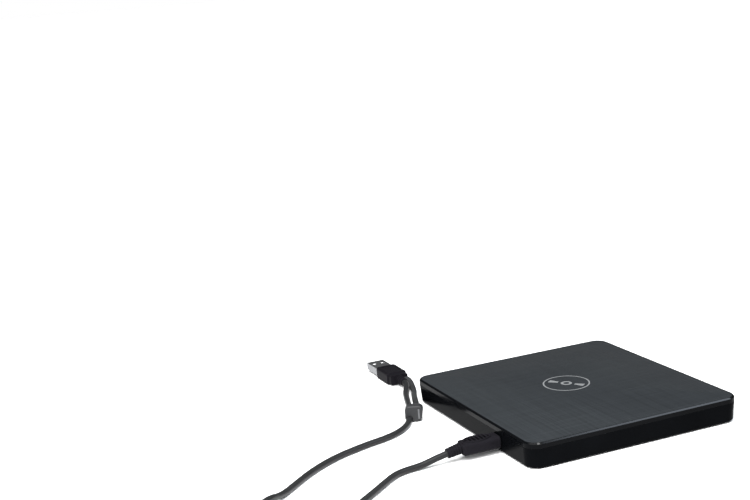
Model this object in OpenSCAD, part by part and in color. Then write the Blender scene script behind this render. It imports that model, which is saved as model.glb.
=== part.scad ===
// Slim external disc drive with a sliding tray, a traverse unit and a plug-in lead.
// Origin: centre of the footprint on the table. The tray opens towards -Y, the socket faces +Y.

/* [Casing] */
// Overall width
body_w = 144; // [140:1:180]
// Overall depth
body_d = 137.5; // [134:0.5:170]
// Overall height over the feet
body_h = 15.4; // [15:0.1:20]
// Radius of the upright corners
corner_r = 8; // [5:0.5:12]
// Thickness of the plastic walls
wall = 1.6; // [1.2:0.1:2]
// How far the lower shell's wall leans in towards the bottom
wall_draft = 0.8; // [0.4:0.1:1.2]
// Depth of the upper shell's skirt
skirt_h = 3.4; // [2.5:0.1:4]
// Bevel around the upper shell
rim_bevel = 0.8; // [0.4:0.1:1.2]
// Width of the rim left around the top plate
rim_w = 1.2; // [1:0.1:2]
// Thickness of the decorative top plate
plate_t = 0.5; // [0.3:0.1:0.8]
// Height of the rubber feet below the shell
foot_h = 0.5; // [0.4:0.1:1]
// Radius of a rubber foot
foot_r = 5; // [3:0.5:7]
// Centre of the round emblem, along X
emblem_x = 5.5; // [-20:0.5:20]
// Centre of the round emblem, along Y
emblem_y = -1.3; // [-20:0.1:20]
// Radius of the round emblem
emblem_r = 14.2; // [8:0.1:18]

/* [Drive] */
// Height of the sheet metal chassis
chassis_h = 9.5; // [9.5:0.1:12.7]
// Gap between the casing wall and the chassis, left and right
chassis_gap = 5.6; // [5:0.1:8]
// Thickness of the chassis sheet
sheet_t = 0.5; // [0.4:0.1:0.6]
// Diameter of the disc that the tray takes
disc_d = 120; // [100:1:120]
// How far behind the bezel the disc's edge starts
disc_margin = 1.3; // [1:0.1:3]
// Thickness of the bezel
bezel_t = 3.4; // [3:0.1:5]
// Width of the eject button
button_w = 12; // [8:0.5:14]
// Travel of the eject button
button_travel = 0.6; // [0.4:0.1:0.8]
// Radius of the emergency opening's hole
eject_hole_r = 0.6; // [0.5:0.05:0.8]

/* [Traverse] */
// Lens position at the start of the disc's data, from the hub
track_start = 24; // [23:0.5:25]
// Travel of the lens sled
track_travel = 34; // [30:1:34]
// Radius of the hub that centres the disc
hub_r = 7.45; // [7:0.05:7.45]
// Radius of a guide rod
rod_r = 0.9; // [0.7:0.1:1]
// Radius of the lead screw
screw_r = 0.8; // [0.6:0.1:0.8]

/* [Lead] */
// Distance of the socket from the centre, along X
socket_x = -35; // [-42:1:-33]
// Diameter of the lead
cord_d = 3.8; // [3.5:0.1:4]
// Length of the small plug's grip
mini_len = 22; // [18:1:26]
// Width of the small plug's grip
mini_w = 10.5; // [9:0.5:12]
// Height of the small plug's grip
mini_h = 8; // [7:0.5:9]
// Length of the large plug's grip
plug_len = 22; // [20:1:36]
// Width of the large plug's grip
plug_w = 14; // [14:0.5:18]
// Height of the large plug's grip
plug_h = 8; // [7:0.5:9]

/* [Hidden] */
$fn = 48;
eps = 0.01;
run_gap = 0.1;

// Casing levels
shell_z = foot_h;
floor_t = 1.4;
floor_z = shell_z + floor_t;
part_z = body_h - skirt_h;
plate_z = body_h - plate_t;
ceiling_t = 1.4;
ceiling_z = plate_z - ceiling_t;
half_w = body_w / 2;
half_d = body_d / 2;
inner_hw = half_w - wall - wall_draft;
inner_hd = half_d - wall - wall_draft;
inner_r = corner_r - wall - wall_draft;
lip_t = 0.8;
lip_h = 1.4;
edge_bevel = 1;
rim_gap = 0.05;
emblem_t = 0.2;
emblem_band = 0.9;

// Casing screws stand in the channels beside the chassis
screw_x = inner_hw - 2.6;
screw_y = 40;
boss_r = 2.4;
shank_r = 1;
head_r = 1.9;
head_t = 1.1;
head_z = 1.3;
boss_split_z = 4;
foot_x = half_w - 14;
foot_y = half_d - 13;
foot_seat = 0.4;

// Chassis
chassis_x = inner_hw - chassis_gap;
pan_z = floor_z + 0.3;
pan_top = pan_z + sheet_t;
lid_t = 0.4;
lid_z = pan_z + chassis_h - lid_t;
front_y = -half_d + 0.3;
tray_y = front_y + bezel_t;
chassis_y0 = tray_y + 0.4;
disc_r = disc_d / 2;
disc_y = tray_y + disc_margin + disc_r;
tray_y1 = disc_y + disc_r + 1.6;
chassis_y1 = tray_y1 - 0.5;
ear_x = chassis_x - 7.5;
ear_y = 50;

// Slides
guide_t = 3.2;
guide_x = chassis_x - sheet_t - guide_t;
guide_z = pan_top + 1.5;
guide_h = 5;
rail_z = guide_z + 1.6;
rail_h = 1.8;
rail_w = 3.2;
rail_x = guide_x - 1.3;
rail_len = disc_d - 7;
guide_len = chassis_y1 - chassis_y0 - 4;
tray_hw = guide_x - run_gap;
tray_travel = disc_d + 5;

// Tray levels
tray_z = pan_z + 2.8;
recess_z = tray_z + 3.2;
tray_top = tray_z + 4.9;
cover_t = 0.3;
cover_z = tray_z - cover_t;
recess_r = disc_r + 0.6;
small_recess_r = disc_r * 2 / 3 + 0.6;
small_recess_t = 0.4;
rear_cut = 13;
pocket_x0 = 18;
pocket_x1 = tray_hw - 3;
pocket_d = 13;
pocket_h = 3.5;

// Bezel and its fittings
bezel_hw = chassis_x + 0.2;
bezel_z = pan_z + 0.1;
bezel_h = lid_z + lid_t - bezel_z - 0.1;
button_x = 44;
button_z = tray_z + 0.45;
button_h = 2.8;
button_len = 4.1;
button_proud = 0.3;
fit_gap = 0.15;
led_x = 31;
led_w = 1.6;
led_h = 1;
led_z = tray_z + 1.4;
hole_x = 23;
hole_z = tray_z + 1.9;
board_t = 0.6;
switch_y = front_y - button_proud + button_len + button_travel + 0.1;

// Latch
latch_x = 51;
latch_y = tray_y + 21;
latch_len = 8.4;
latch_turn = 20;
latch_t = 1.4;
latch_z = tray_z + 0.2;
post_x = 55.4;
post_y = latch_y + 6.3;
post_r = 0.75;
post_h = tray_z + 1.7 - pan_z;
post_way = 1.05;

// Traverse, in its own axes: u along the track, v across it
track_angle = 225;
frame_z = tray_z + 0.8;
frame_t = 0.6;
rod_z = tray_z + 1.7;
rod_v = 11.2;
rod_u0 = 14;
rod_u1 = track_start + track_travel + 7.5;
window_v = rod_v + rod_r + 1.3;
screw_v = -16;
screw_u0 = 11.6;
screw_u1 = track_start + track_travel - 3;
motor_r = 11;
hub_z = recess_z + 0.35;
ring_t = 0.3;
hub_h = 1.8;
ring_r = 12.4;
ring_bore = 10;
claw_r = hub_r - 0.15;
claw_stroke = 0.4;
claw_l = 5.1;
claw_z = hub_z + 0.9;
slot_hw = 5;
sled_l = 12;
sled_hw = 13.2;
sled_z = tray_z + 0.35;
sled_h = 2.5;
nut_u = track_start - sled_l / 2;
nut_l = 2.8;
deck_z = recess_z - 0.2;
damper_spots = [[-13, 18.4], [-13, -18.4], [46, 18.4]];

// Boards behind and below the tray
board_hw = 47;
board_y0 = 22;
board_y1 = chassis_y1 - 2.2;
board_z = pan_top + 0.2;
bridge_x0 = -62;
bridge_x1 = 30;
bridge_y0 = tray_y1 + 0.9;
bridge_y1 = inner_hd - 0.3;
bridge_z = floor_z + 2.5;
bridge_t = 0.8;

// Flat cable that follows the tray
flex_w = 22;
flex_t = 0.1;
flex_y0 = -42;
flex_x = -6;
flex_low = pan_top + 0.15;
flex_high = cover_z - 0.3;

// Socket and small plug
socket_w = 7.7;
socket_h = 3.95;
socket_t = 0.3;
socket_len = 9.2;
socket_z = bridge_z + bridge_t;
socket_y1 = half_d - 1;
port_z = socket_z + socket_h / 2;
port_gap = 0.3;
nose_w = 6.8;
nose_h = 3;
nose_len = 6.5;
nose_t = 0.25;
plug_y = half_d + 0.15;
relief_len = 9;
relief_r0 = 3.4;
relief_r1 = 2.4;
relief_rings = 4;
relief_droop = 10;
relief_root = 0.7;

// Large plug
usb_pos = [106.4, 65];
usb_angle = 0;
usb_tail_len = 4;
usb_tail_step = 1;
usb_relief_len = 8;
usb_relief_r = 3;
usb_nose_len = 18.6;
usb_nose_w = 12;
usb_nose_h = 4.5;
usb_nose_t = 0.3;
usb_tongue_t = 1.9;

// Lead: it lies on the table, its spare length in a small coil held by a tie
cord_r = cord_d / 2;
coil_c = [-67, 205.5];
coil_r0 = 17;
coil_r1 = 24.8;
coil_z = 0.3;
tie_t = 0.25;
tie_w = 6;
tie_angle = 130;
near_points = [
    [-35, 100.15, 5.7], [-35, 103, 5.2], [-35, 107, 4.4], [-35, 111, 3.5], [-35, 115, 2.7],
    [-35, 119, 2.2], [-35.4, 124, 2], [-37, 129.8, 2], [-40.2, 135.4, 2], [-44.8, 141.2, 2],
    [-52.6, 150.6, 2], [-60.9, 160.9, 2], [-68.8, 170.9, 2.1], [-73.5, 176.8, 2.2], [-76.2, 180.3, 2.2]
];
far_points = [
    [-50.4, 215.6, 6.1], [-47.6, 212.6, 6.1], [-42.2, 206.8, 6.1], [-38.1, 202.4, 5.2],
    [-33.3, 197.3, 3.4], [-28.5, 192.2, 2.3], [-23, 186.3, 2], [-12, 174, 2], [-3, 162, 2],
    [4, 150, 2], [9, 138, 2], [13, 126, 2], [16, 115, 2], [20.5, 105, 2], [27.5, 96.5, 2],
    [36.5, 90, 2], [48, 84.2, 2], [60, 79.6, 2], [72, 75.4, 2], [81, 72, 2.4], [87.5, 68.7, 3.1],
    [92, 66.4, 3.7], [95.3, 65.3, 3.95], [98.15, 65.02, 4]
];
strap_points = [
    [106.3, 60.2, 4], [102, 60.2, 3.8], [95, 61.4, 2.4], [87, 63.8, 1.3], [80, 66.8, 0.9],
    [72, 70, 0.9], [64, 72.9, 1], [56, 75.7, 1.2], [50, 78.2, 1.3], [43.95, 81.04, 1.3], [40.38, 82.86, 1.3]
];
strap_w = 3.6;
strap_t = 1.4;
clip_pos = [38.3, 85.6];
clip_angle = 153;
clip_l = 6;
clip_w = 11.5;
clip_cord = -3;
clip_h = 10;
clip_r = 3;
clip_gap = 0.25;

// ---- helpers ----

// Outline of a rectangle with round corners
module rounded(w, d, r) {
    square([w, d - 2 * r], center = true);
    square([w - 2 * r, d], center = true);
    for (sx = [-1, 1], sy = [-1, 1])
        translate([sx * (w / 2 - r), sy * (d / 2 - r)]) circle(r);
}

// Upright slab with round corners, standing on z0
module slab(w, d, r, z0, h) translate([0, 0, z0]) linear_extrude(h) rounded(w, d, r);

// Slab whose sides lean: inset i0 at z0 and i1 at z1, corner centres fixed
module leaning(w, d, r, z0, z1, i0, i1) {
    h = z1 - z0;
    for (sx = [-1, 1], sy = [-1, 1])
        translate([sx * (w / 2 - r), sy * (d / 2 - r), z0]) cylinder(h = h, r1 = r - i0, r2 = r - i1);
    translate([0, d / 2 - r, z0]) rotate([90, 0, 0]) linear_extrude(d - 2 * r)
        polygon([[-w / 2 + i0, 0], [w / 2 - i0, 0], [w / 2 - i1, h], [-w / 2 + i1, h]]);
    translate([-w / 2 + r, 0, z0]) rotate([90, 0, 90]) linear_extrude(w - 2 * r)
        polygon([[-d / 2 + i0, 0], [d / 2 - i0, 0], [d / 2 - i1, h], [-d / 2 + i1, h]]);
}

// Block given by its lowest corner and its highest corner
module block(a, b) translate(a) cube(b - a);

// Block centred in X and Y, standing on z0
module pad(x, y, z0, w, d, h) translate([x - w / 2, y - d / 2, z0]) cube([w, d, h]);

// Moves the traverse's parts from their own axes to the disc's centre
module at_track() translate([0, disc_y, 0]) rotate([0, 0, track_angle]) children();

// Moves the large plug's parts to the place where it lies
module at_usb() translate([usb_pos[0], usb_pos[1], plug_h / 2]) rotate([0, 0, usb_angle]) children();

// Four copies, one in each quarter
module quarters(x, y) for (sx = [-1, 1], sy = [-1, 1]) translate([sx * x, sy * y, 0]) children();

function unit(v) = v / norm(v);
// Direction of a route at point i
function heading(p, i) = unit(p[min(i + 1, len(p) - 1)] - p[max(i - 1, 0)]);
function side(t) = unit([t[1], -t[0], 0]);

// One closed skin around a route; the outline is a list of [across, up] points
module sweep(points, outline) {
    n = len(outline);
    m = len(points);
    rings = [for (i = [0:m - 1])
        let (t = heading(points, i), s = side(t), up = cross(s, t))
        for (q = outline) points[i] + q[0] * s + q[1] * up];
    walls = [for (i = [0:m - 2], j = [0:n - 1])
        [i * n + j, (i + 1) * n + j, (i + 1) * n + (j + 1) % n, i * n + (j + 1) % n]];
    start = [[for (j = [0:n - 1]) j]];
    end = [[for (j = [n - 1:-1:0]) (m - 1) * n + j]];
    polyhedron(rings, concat(walls, start, end), convexity = 4);
}
cord_sides = 8;
round_outline = [for (a = [0:cord_sides - 1]) cord_r * [cos(a * 360 / cord_sides), sin(a * 360 / cord_sides)]];
strap_outline = [[-strap_w / 2, -strap_t / 2], [strap_w / 2, -strap_t / 2],
    [strap_w / 2, strap_t / 2], [-strap_w / 2, strap_t / 2]];

// ---- casing ----

module top_cover() color("#1c1f23") {
    difference() {
        union() {
            leaning(body_w, body_d, corner_r, part_z, body_h - rim_bevel, 0, 0.001);
            leaning(body_w, body_d, corner_r, body_h - rim_bevel, body_h, 0, rim_bevel);
            slab(2 * inner_hw - 0.2, 2 * inner_hd - 0.2, inner_r, part_z - lip_h, lip_h + eps);
        }
        slab(body_w - 2 * rim_w, body_d - 2 * rim_w, corner_r - rim_w, plate_z, plate_t + 1);
        slab(2 * inner_hw - 2 * lip_t, 2 * inner_hd - 2 * lip_t, inner_r - lip_t,
            part_z - lip_h - 1, ceiling_z - part_z + lip_h + 1);
        block([-bezel_hw - 1.5, -half_d, part_z - lip_h - 1], [bezel_hw + 1.5, -half_d + 6, part_z]);
    }
    quarters(screw_x, screw_y) difference() {
        translate([0, 0, boss_split_z + run_gap]) cylinder(h = ceiling_z - boss_split_z, r = boss_r);
        translate([0, 0, boss_split_z]) cylinder(h = 5, r = shank_r + 0.02);
    }
    for (sx = [-1, 1])
        pad(sx * 40, 0, lid_z + lid_t + 0.05, 1.2, 90, ceiling_z - lid_z - lid_t);
}

module top_plate() color("#2e3236") difference() {
    slab(body_w - 2 * (rim_w + rim_gap), body_d - 2 * (rim_w + rim_gap), corner_r - rim_w - rim_gap,
        plate_z, plate_t);
    translate([emblem_x, emblem_y, body_h - emblem_t]) linear_extrude(1) emblem_outline();
}

// A plain disc sign: an outer ring, a hub ring and two pairs of glints
module emblem_outline() {
    difference() {
        circle(emblem_r);
        circle(emblem_r - emblem_band);
    }
    difference() {
        circle(emblem_r * 0.24);
        circle(emblem_r * 0.13);
    }
    for (k = [0, 1]) rotate(k * 180 + 20) intersection() {
        difference() {
            circle(emblem_r * 0.8);
            circle(emblem_r * 0.38);
        }
        polygon([[0, 0], [emblem_r, emblem_r * 0.1], [emblem_r, emblem_r * 0.5]]);
    }
}
module emblem() color("#c3c7c9")
    translate([emblem_x, emblem_y, body_h - emblem_t]) linear_extrude(emblem_t) emblem_outline();

module bottom_cover() color("#0b0c0e") difference() {
    union() {
        difference() {
            union() {
                leaning(body_w, body_d, corner_r, shell_z + edge_bevel, part_z, wall_draft, 0);
                leaning(body_w, body_d, corner_r, shell_z, shell_z + edge_bevel,
                    wall_draft + edge_bevel * 0.7, wall_draft);
            }
            slab(2 * inner_hw, 2 * inner_hd, inner_r, floor_z, part_z);
            block([-bezel_hw - 0.3, -half_d - 1, bezel_z - 0.2], [bezel_hw + 0.3, -inner_hd + 1, part_z + 1]);
        }
        quarters(screw_x, screw_y) translate([0, 0, shell_z + 0.2])
            cylinder(h = boss_split_z - shell_z - 0.2, r = boss_r);
        quarters(ear_x, ear_y) translate([0, 0, floor_z - eps]) cylinder(h = pan_z - floor_z + eps, r = 3);
        for (x = [bridge_x0 + 4, bridge_x1 - 4])
            pad(x, (bridge_y0 + bridge_y1) / 2, floor_z - eps, 4, 4, bridge_z - floor_z + eps);
    }
    quarters(screw_x, screw_y) {
        translate([0, 0, shell_z - 1]) cylinder(h = head_z + head_t + 1 - shell_z, r = head_r + 0.1);
        cylinder(h = boss_split_z + 1, r = shank_r + 0.1);
    }
    quarters(foot_x, foot_y) translate([0, 0, shell_z - 1]) cylinder(h = 1 + foot_seat, r = foot_r + run_gap);
    quarters(ear_x, ear_y) translate([0, 0, shell_z + 0.4]) cylinder(h = 5, r = shank_r + 0.02);
    block([socket_x - socket_w / 2 - port_gap, inner_hd - 1, socket_z - port_gap],
        [socket_x + socket_w / 2 + port_gap, half_d + 1, socket_z + socket_h + port_gap]);
}

module feet() color("#26282a") quarters(foot_x, foot_y) {
    cylinder(h = 0.4, r1 = foot_r - 0.4, r2 = foot_r);
    translate([0, 0, 0.4]) cylinder(h = foot_h + foot_seat - 0.4, r = foot_r);
}

// Round-head screw standing on z, its head down
module screw_up(z, h) {
    translate([0, 0, z]) difference() {
        cylinder(h = head_t, r = head_r);
        translate([0, 0, -eps]) cylinder(h = 0.6, r = 0.9, $fn = 6);
    }
    translate([0, 0, z + head_t - eps]) cylinder(h = h, r = shank_r);
}
module casing_screws() color("#8b8f92") quarters(screw_x, screw_y) screw_up(head_z, boss_split_z + 2.4 - head_z);

// ---- chassis ----

module base_pan() color("#a9adae") difference() {
    union() {
        block([-chassis_x, chassis_y0, pan_z], [chassis_x, chassis_y1, pan_top]);
        for (sx = [-1, 1])
            pad(sx * (chassis_x - sheet_t / 2), (chassis_y0 + chassis_y1) / 2, pan_z,
                sheet_t, chassis_y1 - chassis_y0, chassis_h - lid_t);
    }
    quarters(ear_x, ear_y) cylinder(h = pan_top + 1, r = shank_r + 0.1);
    for (k = [0:5]) pad(-25 + k * 10, -25, pan_z - 1, 2, 22, 3);
}

module drive_lid() color("#b4b8ba") {
    difference() {
        block([-chassis_x - 0.45, chassis_y0, lid_z], [chassis_x + 0.45, chassis_y1, lid_z + lid_t]);
        translate([0, disc_y, lid_z - 1]) cylinder(h = 3, r = 4);
        for (sx = [-1, 1]) pad(sx * 44, 44, lid_z - 1, 14, 3, 3);
    }
    for (sx = [-1, 1])
        pad(sx * (chassis_x + 0.25), (chassis_y0 + chassis_y1) / 2, lid_z - 2,
            0.4, chassis_y1 - chassis_y0 - 10, 2 + eps);
}

module chassis_screws() color("#8b8f92") quarters(ear_x, ear_y) {
    translate([0, 0, pan_top]) difference() {
        cylinder(h = 0.8, r = 1.8);
        translate([0, 0, 0.3]) cylinder(h = 1, r = 0.8, $fn = 6);
    }
    translate([0, 0, shell_z + 0.6]) cylinder(h = pan_top - shell_z - 0.6 + eps, r = shank_r);
}

module rail_guides() color("#d8d5cb") for (sx = [-1, 1]) difference() {
    pad(sx * (guide_x + guide_t / 2), chassis_y0 + 2 + guide_len / 2, guide_z, guide_t, guide_len, guide_h);
    pad(sx * (guide_x - 1 + (guide_t - 0.2) / 2), chassis_y0 + 2 + guide_len / 2, rail_z - run_gap,
        guide_t - 0.2, guide_len + 2, rail_h + 2 * run_gap);
}

module rail(sx) color("#c9cccd")
    pad(sx * (rail_x + rail_w / 2), chassis_y0 + 2.5 + rail_len / 2, rail_z, rail_w, rail_len, rail_h);
module left_rail() rail(-1);
module right_rail() rail(1);

module main_board() color("#1d5a3a") difference() {
    block([-board_hw, board_y0, board_z], [board_hw, board_y1, board_z + 0.8]);
    quarters(board_hw - 3, board_y1 - 3) cylinder(h = 20, r = 1.2);
}

module main_board_chips() color("#1a1a1c") {
    pad(-20, 40, board_z + 0.8, 14, 14, 0.6);
    pad(4, 43, board_z + 0.8, 8, 6, 0.5);
    pad(24, 38, board_z + 0.8, 10, 10, 0.6);
    for (k = [0:6]) pad(-38 + k * 3, 29, board_z + 0.8, 1.2, 2, 0.5);
    for (k = [0:6]) pad(18 + k * 3, 28, board_z + 0.8, 1.2, 2, 0.5);
}

module flex_cable() color("#d9c49a") {
    bend_r = (flex_high + flex_t - flex_low) / 2;
    pad(flex_x, (flex_y0 + board_y0 - 1) / 2, flex_low, flex_w, board_y0 - 1 - flex_y0, flex_t);
    pad(flex_x, flex_y0 + 30, flex_high, flex_w, 60, flex_t);
    translate([flex_x - flex_w / 2, flex_y0, flex_low + bend_r]) rotate([90, 0, 90]) linear_extrude(flex_w)
        intersection() {
            difference() {
                circle(bend_r);
                circle(bend_r - flex_t);
            }
            translate([-5, -5]) square([5 + eps, 10]);
        }
}

module drive_connector() color("#222426") {
    block([6, board_y1 + 0.1, board_z], [20, bridge_y0 + 2.4, bridge_z - 0.05]);
}

module bridge_board() color("#1d5a3a") difference() {
    block([bridge_x0, bridge_y0, bridge_z], [bridge_x1, bridge_y1, bridge_z + bridge_t]);
    for (x = [bridge_x0 + 2.5, bridge_x1 - 2.5])
        translate([x, (bridge_y0 + bridge_y1) / 2, bridge_z - 1]) cylinder(h = 4, r = 1);
}

module bridge_chips() color("#1a1a1c") {
    top = bridge_z + bridge_t;
    mid = (bridge_y0 + bridge_y1) / 2;
    pad(-18, mid, top, 6, 5, 0.9);
    pad(-5, mid, top, 4.6, 3, 2.6);
    for (k = [0:5]) pad(4 + k * 3, mid, top, 1.4, 2.4, 0.6);
    pad(-52, mid, top, 4, 3, 1.2);
}

module usb_socket() color("#c4c7c8") {
    difference() {
        block([socket_x - socket_w / 2, socket_y1 - socket_len, socket_z],
            [socket_x + socket_w / 2, socket_y1, socket_z + socket_h]);
        block([socket_x - socket_w / 2 + socket_t, socket_y1 - socket_len + 1.2, socket_z + socket_t],
            [socket_x + socket_w / 2 - socket_t, socket_y1 + 1, socket_z + socket_h - socket_t]);
    }
    block([socket_x - 1.6, socket_y1 - socket_len + 1, port_z - 0.35],
        [socket_x + 1.6, socket_y1 - 2, port_z + 0.35]);
}

// ---- tray ----

// Outline of the tray, with its rear corners cut away
module tray_outline() polygon([[-tray_hw, tray_y], [tray_hw, tray_y], [tray_hw, tray_y1 - rear_cut],
    [tray_hw - rear_cut * 1.4, tray_y1], [-tray_hw + rear_cut * 1.4, tray_y1],
    [-tray_hw, tray_y1 - rear_cut]]);

// Outline of the traverse unit
module traverse_outline(g) polygon([[-17 - g, -21 - g], [53 + g, -21 - g], [66.4 + g, -14 - g * 0.6],
    [66.4 + g, 14 + g * 0.6], [53 + g, 21 + g], [-17 - g, 21 + g]]);

module tray() color("#3a3d40") difference() {
    translate([0, 0, tray_z]) linear_extrude(tray_top - tray_z) tray_outline();
    translate([0, disc_y, recess_z]) cylinder(h = 5, r = recess_r);
    translate([0, disc_y, recess_z - small_recess_t]) cylinder(h = 5, r = small_recess_r);
    at_track() translate([0, 0, tray_z - 1]) linear_extrude(9) traverse_outline(0.3);
    block([pocket_x0, tray_y - 1, tray_z - 1], [pocket_x1, tray_y + pocket_d, tray_z + pocket_h]);
    block([latch_x - 8, latch_y - 8, tray_z - 1], [pocket_x1, latch_y + 11, tray_z + 2]);
    block([post_x - post_way, post_y, tray_z - 1], [post_x + post_way, body_d, tray_z + 2]);
    for (sx = [-1, 1])
        pad(sx * (tray_hw + 0.2), 0, rail_z - run_gap, 3.2, body_d, rail_h + 2 * run_gap);
    for (k = [0:3]) pad(30 + (k % 2) * 14, 12 + floor(k / 2) * 14, tray_z - 1, 11, 11, 3);
}

module bezel() color("#101113") difference() {
    pad(0, front_y + bezel_t / 2, bezel_z, 2 * bezel_hw, bezel_t, bezel_h);
    pad(button_x, front_y, button_z - fit_gap, button_w + 2 * fit_gap, 20, button_h + 2 * fit_gap);
    pad(led_x, front_y, led_z - 0.02, led_w + 0.04, 20, led_h + 0.04);
    translate([hole_x, front_y - 1, hole_z]) rotate([-90, 0, 0]) cylinder(h = 10, r = eject_hole_r);
    pad(-12, front_y, bezel_z + bezel_h - 1.6, 70, 1, 0.4);
}

module tray_undercover() color("#b4b8ba") difference() {
    translate([0, 0, cover_z]) linear_extrude(cover_t) intersection() {
        tray_outline();
        square([2 * tray_hw - 5, body_d - 12], center = true);
    }
    for (k = [0:7]) pad(-36 + k * 7, 30, cover_z - 1, 3, 18, 3);
    block([post_x - post_way, post_y - 2.5, cover_z - 1], [post_x + post_way, body_d, tray_z + 2]);
}

module eject_button() color("#17181a")
    pad(button_x, front_y - button_proud + button_len / 2, button_z, button_w, button_len, button_h);

module led_lens() color("#7fd07a")
    pad(led_x, front_y + 2.6, led_z, led_w, 5, led_h);

module tray_board() color("#1d5a3a")
    block([pocket_x0 + 1, tray_y + 2.2, tray_z], [pocket_x1 - 1, tray_y + pocket_d - 1, tray_z + board_t - 0.2]);

module eject_switch() color("#9b9ea0") {
    pad(button_x, switch_y + 2.2, tray_z + 0.4, 5, 3.6, 2.6);
    pad(button_x, switch_y + 0.3, tray_z + 1.4, 2, 0.6, 1);
}

module latch_solenoid() color("#6d5a46")
    pad(latch_x - 2, latch_y - 4.6, tray_z + 0.1, 10, 4.6, 1.7);

// Drawn let go: turned away from the post by latch_turn
module latch_lever() color("#e0ddd2") translate([latch_x, latch_y, latch_z]) rotate([0, 0, latch_turn])
    difference() {
        union() {
            cylinder(h = latch_t, r = 1.9);
            pad(0, latch_len / 2, 0, 1.6, latch_len, latch_t);
            pad(2.4, latch_len - 0.5, 0, 6.4, 1, latch_t);
        }
        translate([0, 0, -1]) cylinder(h = 4, r = 0.7);
    }

module latch_post() color("#c9cccd") {
    translate([post_x, post_y, pan_top]) cylinder(h = post_h - sheet_t, r = post_r);
    translate([post_x, post_y, pan_top]) cylinder(h = 0.4, r = 1.5);
}

// ---- traverse unit ----

module traverse_frame() color("#9ea2a4") at_track() {
    difference() {
        union() {
            translate([0, 0, frame_z]) linear_extrude(frame_t) traverse_outline(-0.1);
            for (u = [rod_u0 - 1, rod_u1 - 1], sv = [-1, 1])
                pad(u + 0.5, sv * rod_v, frame_z, 1.6, 3.4, rod_z + rod_r + 0.3 - frame_z);
            pad(screw_u1 + 0.8, screw_v, frame_z, 1.4, 3, rod_z + 1.1 - frame_z);
        }
        translate([0, 0, frame_z - 1]) cylinder(h = 3, r = motor_r + 0.3);
        block([rod_u0 + 0.4, -window_v, frame_z - 1], [rod_u1 - 1.4, window_v, frame_z + frame_t + 0.2]);
        block([rod_u0 - 1.2, screw_v - 2.2, frame_z - 1], [screw_u1, -window_v + eps, frame_z + frame_t + 0.2]);
        block([-3, screw_v - 4, frame_z - 1], [rod_u0 - 1.1, screw_v + 4, frame_z + frame_t + 0.2]);
        for (q = damper_spots) translate([q[0], q[1], frame_z - 1]) cylinder(h = 3, r = 1.2);
        for (sv = [-1, 1]) translate([rod_u0 - 3, sv * rod_v, rod_z]) rotate([0, 90, 0])
            cylinder(h = rod_u1 - rod_u0 + 6, r = rod_r + 0.02);
        translate([screw_u1 - 1, screw_v, rod_z]) rotate([0, 90, 0]) cylinder(h = 4, r = screw_r + 0.05);
    }
}

module dampers() color("#30322f") at_track() for (q = damper_spots)
    translate([q[0], q[1], tray_z]) difference() {
        cylinder(h = frame_z - tray_z, r = 2.3);
        translate([0, 0, -1]) cylinder(h = 3, r = 1.1);
    }

module damper_screws() color("#8b8f92") at_track() for (q = damper_spots)
    translate([q[0], q[1], tray_z]) {
        cylinder(h = frame_z + frame_t - tray_z + eps, r = 1);
        translate([0, 0, frame_z + frame_t - tray_z]) difference() {
            cylinder(h = 0.7, r = 1.9);
            translate([0, 0, 0.3]) cylinder(h = 1, r = 0.8, $fn = 6);
        }
    }

module guide_rods() color("#d3d6d8") at_track() for (sv = [-1, 1])
    translate([rod_u0 - 1.3, sv * rod_v, rod_z]) rotate([0, 90, 0])
        cylinder(h = rod_u1 - rod_u0 + 1.6, r = rod_r);

module pickup_cover() color("#c2c6c8") at_track() difference() {
    translate([0, 0, deck_z]) linear_extrude(0.2) traverse_outline(-0.2);
    translate([0, 0, deck_z - 1]) cylinder(h = 3, r = ring_r + 0.6);
    pad(track_start + track_travel / 2, 0, deck_z - 1, track_travel + 12, 2 * slot_hw, 3);
}

module pickup_flex() color("#c98f3c") at_track()
    pad(38, 5, tray_z, 30, 8, 0.1);

module spindle_motor() color("#7c8083") translate([0, disc_y, 0]) {
    translate([0, 0, tray_z + 0.1]) cylinder(h = 0.6, r = motor_r);
    translate([0, 0, tray_z + 0.7 - eps]) cylinder(h = 1.1, r = 7);
    translate([0, 0, tray_z + 1.8 - eps]) cylinder(h = 0.6, r = 1.5);
}

module turntable() color("#8d9193") translate([0, disc_y, 0]) {
    rotor_z = tray_z + 0.9;
    difference() {
        union() {
            translate([0, 0, rotor_z]) cylinder(h = hub_z - rotor_z - 0.6, r = motor_r);
            translate([0, 0, hub_z - 0.6 - eps]) cylinder(h = 0.6 + eps, r = ring_r);
            translate([0, 0, hub_z]) cylinder(h = hub_h - 0.5, r = hub_r);
            translate([0, 0, hub_z + hub_h - 0.5 - eps]) cylinder(h = 0.5 + eps, r1 = hub_r, r2 = hub_r - 1);
        }
        translate([0, 0, rotor_z - 1]) cylinder(h = 2.1, r = 7.3);
        translate([0, 0, rotor_z]) cylinder(h = 1.62, r = 1.55);
        for (k = [0:2]) rotate([0, 0, 120 * k]) pad(2.2 + claw_r / 2, 0, claw_z - 0.05, claw_r, 2.4, 5);
    }
}

module turntable_ring() color("#1d1e20") translate([0, disc_y, hub_z]) difference() {
    cylinder(h = ring_t, r = ring_r - 0.2);
    translate([0, 0, -1]) cylinder(h = 3, r = ring_bore);
}

module claw(k) color("#c9c6bd") translate([0, disc_y, 0]) rotate([0, 0, 120 * k])
    pad(hub_r + claw_stroke - claw_l / 2, 0, claw_z, claw_l, 2.2, 0.75);
module claw_1() claw(0);
module claw_2() claw(1);
module claw_3() claw(2);

module sled_motor() color("#8b8f92") at_track()
    pad(5, screw_v, tray_z + 0.2, 13, 6.6, 2.7);

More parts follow.
